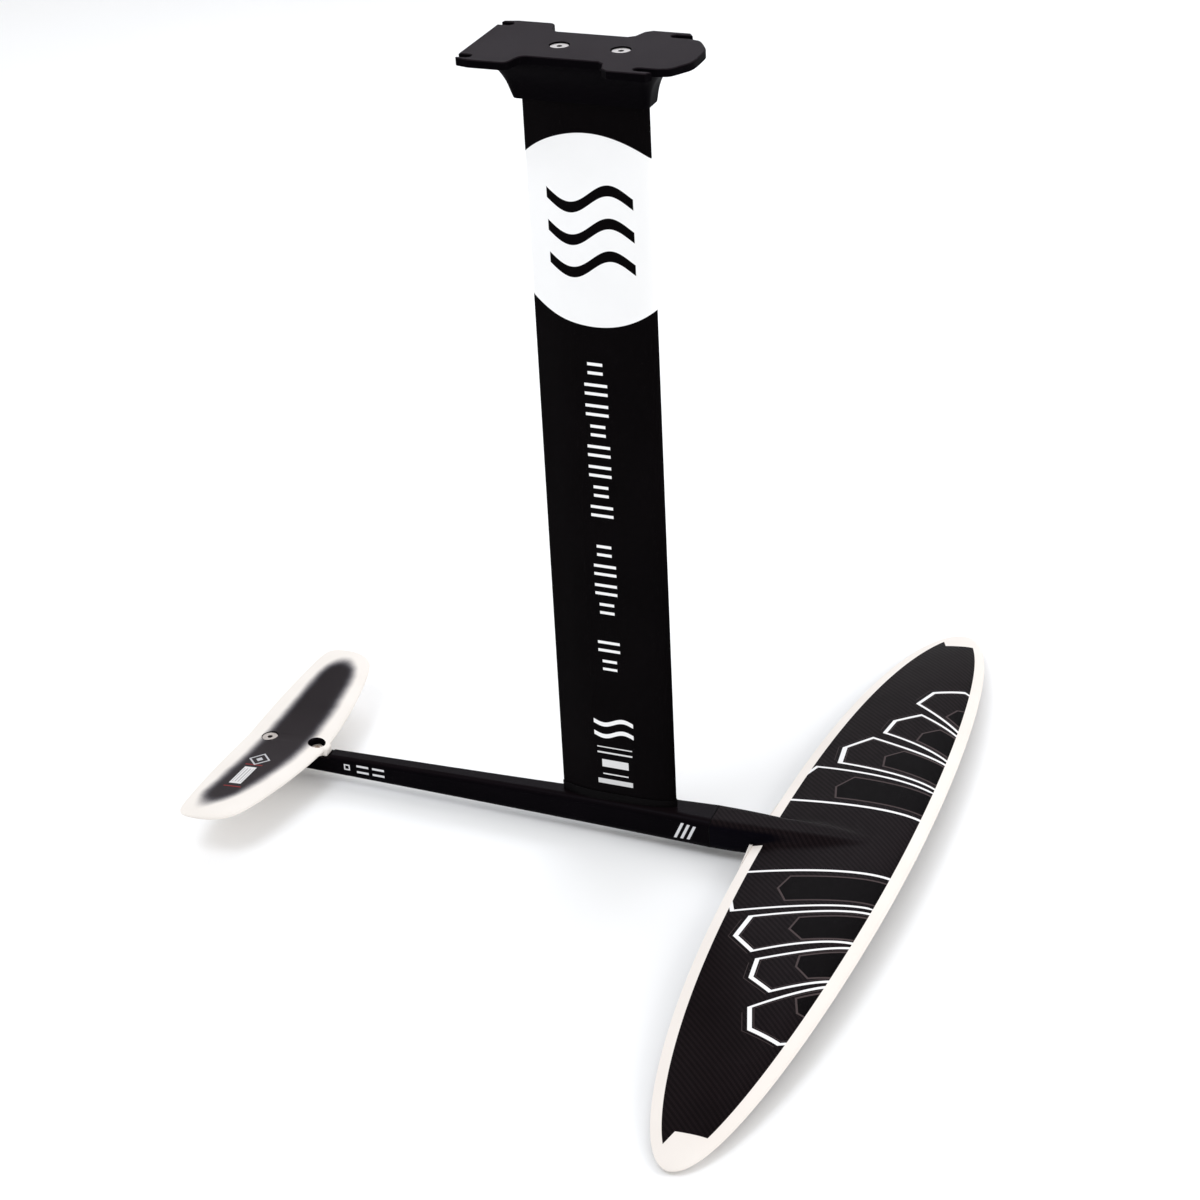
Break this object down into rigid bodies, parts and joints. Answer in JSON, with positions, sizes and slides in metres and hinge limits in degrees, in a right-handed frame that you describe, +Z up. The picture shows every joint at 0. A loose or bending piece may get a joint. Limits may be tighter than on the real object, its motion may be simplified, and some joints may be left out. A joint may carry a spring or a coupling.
{
  "type": "hydrofoil mast wing",
  "caption": "Hydrofoil: slotted top plate on a flat foil-section mast, slim fuselage, elliptical front wing and small upturned rear wing.",
  "frame": {"origin": "on the board face of the top plate, straight above the middle of the mast's chord", "axes": "+X forward, towards the front wing; +Y to port, across the wings; +Z up, out of the board face towards the board"},
  "size_m": [0.703, 0.9128, 0.7834],
  "materials": {
    "anodised_plate": "matt black anodised",
    "anodised_mast": "satin black anodised with printed white graphics",
    "anodised_fuselage": "satin black anodised",
    "stainless": "satin stainless steel",
    "moulded_plastic": "moulded black",
    "carbon_skin": "clear coated carbon twill with off-white painted edges",
    "white_skin": "white gelcoat with a soft black airbrushed middle",
    "foam_core": "closed-cell foam",
    "rubber_seal": "thin black gasket"
  },
  "bodies": {
    "root": {"top_plate": "anodised_plate", "mast_collar": "anodised_plate", "mast": "anodised_mast", "mast_head_inserts": "stainless", "mast_foot_inserts": "stainless", "mast_head_plugs": "moulded_plastic", "mast_foot_plugs": "moulded_plastic", "plate_bolts": "stainless", "fuselage": "anodised_fuselage", "mast_bolts": "stainless", "mast_foot_boot": "moulded_plastic", "fuselage_nose_inserts": "stainless", "fuselage_tail_inserts": "stainless", "front_wing_top_skin": "carbon_skin", "front_wing_bottom_skin": "carbon_skin", "front_wing_socket": "moulded_plastic", "front_wing_core": "foam_core", "front_wing_seal": "rubber_seal", "front_wing_bolts": "stainless", "rear_wing_top_skin": "white_skin", "rear_wing_bottom_skin": "white_skin", "rear_wing_core": "foam_core", "rear_wing_bushes": "moulded_plastic", "rear_wing_cap_bolt": "stainless", "rear_wing_flat_bolt": "stainless", "tail_shim": "moulded_plastic"}
  },
  "joints": []
}
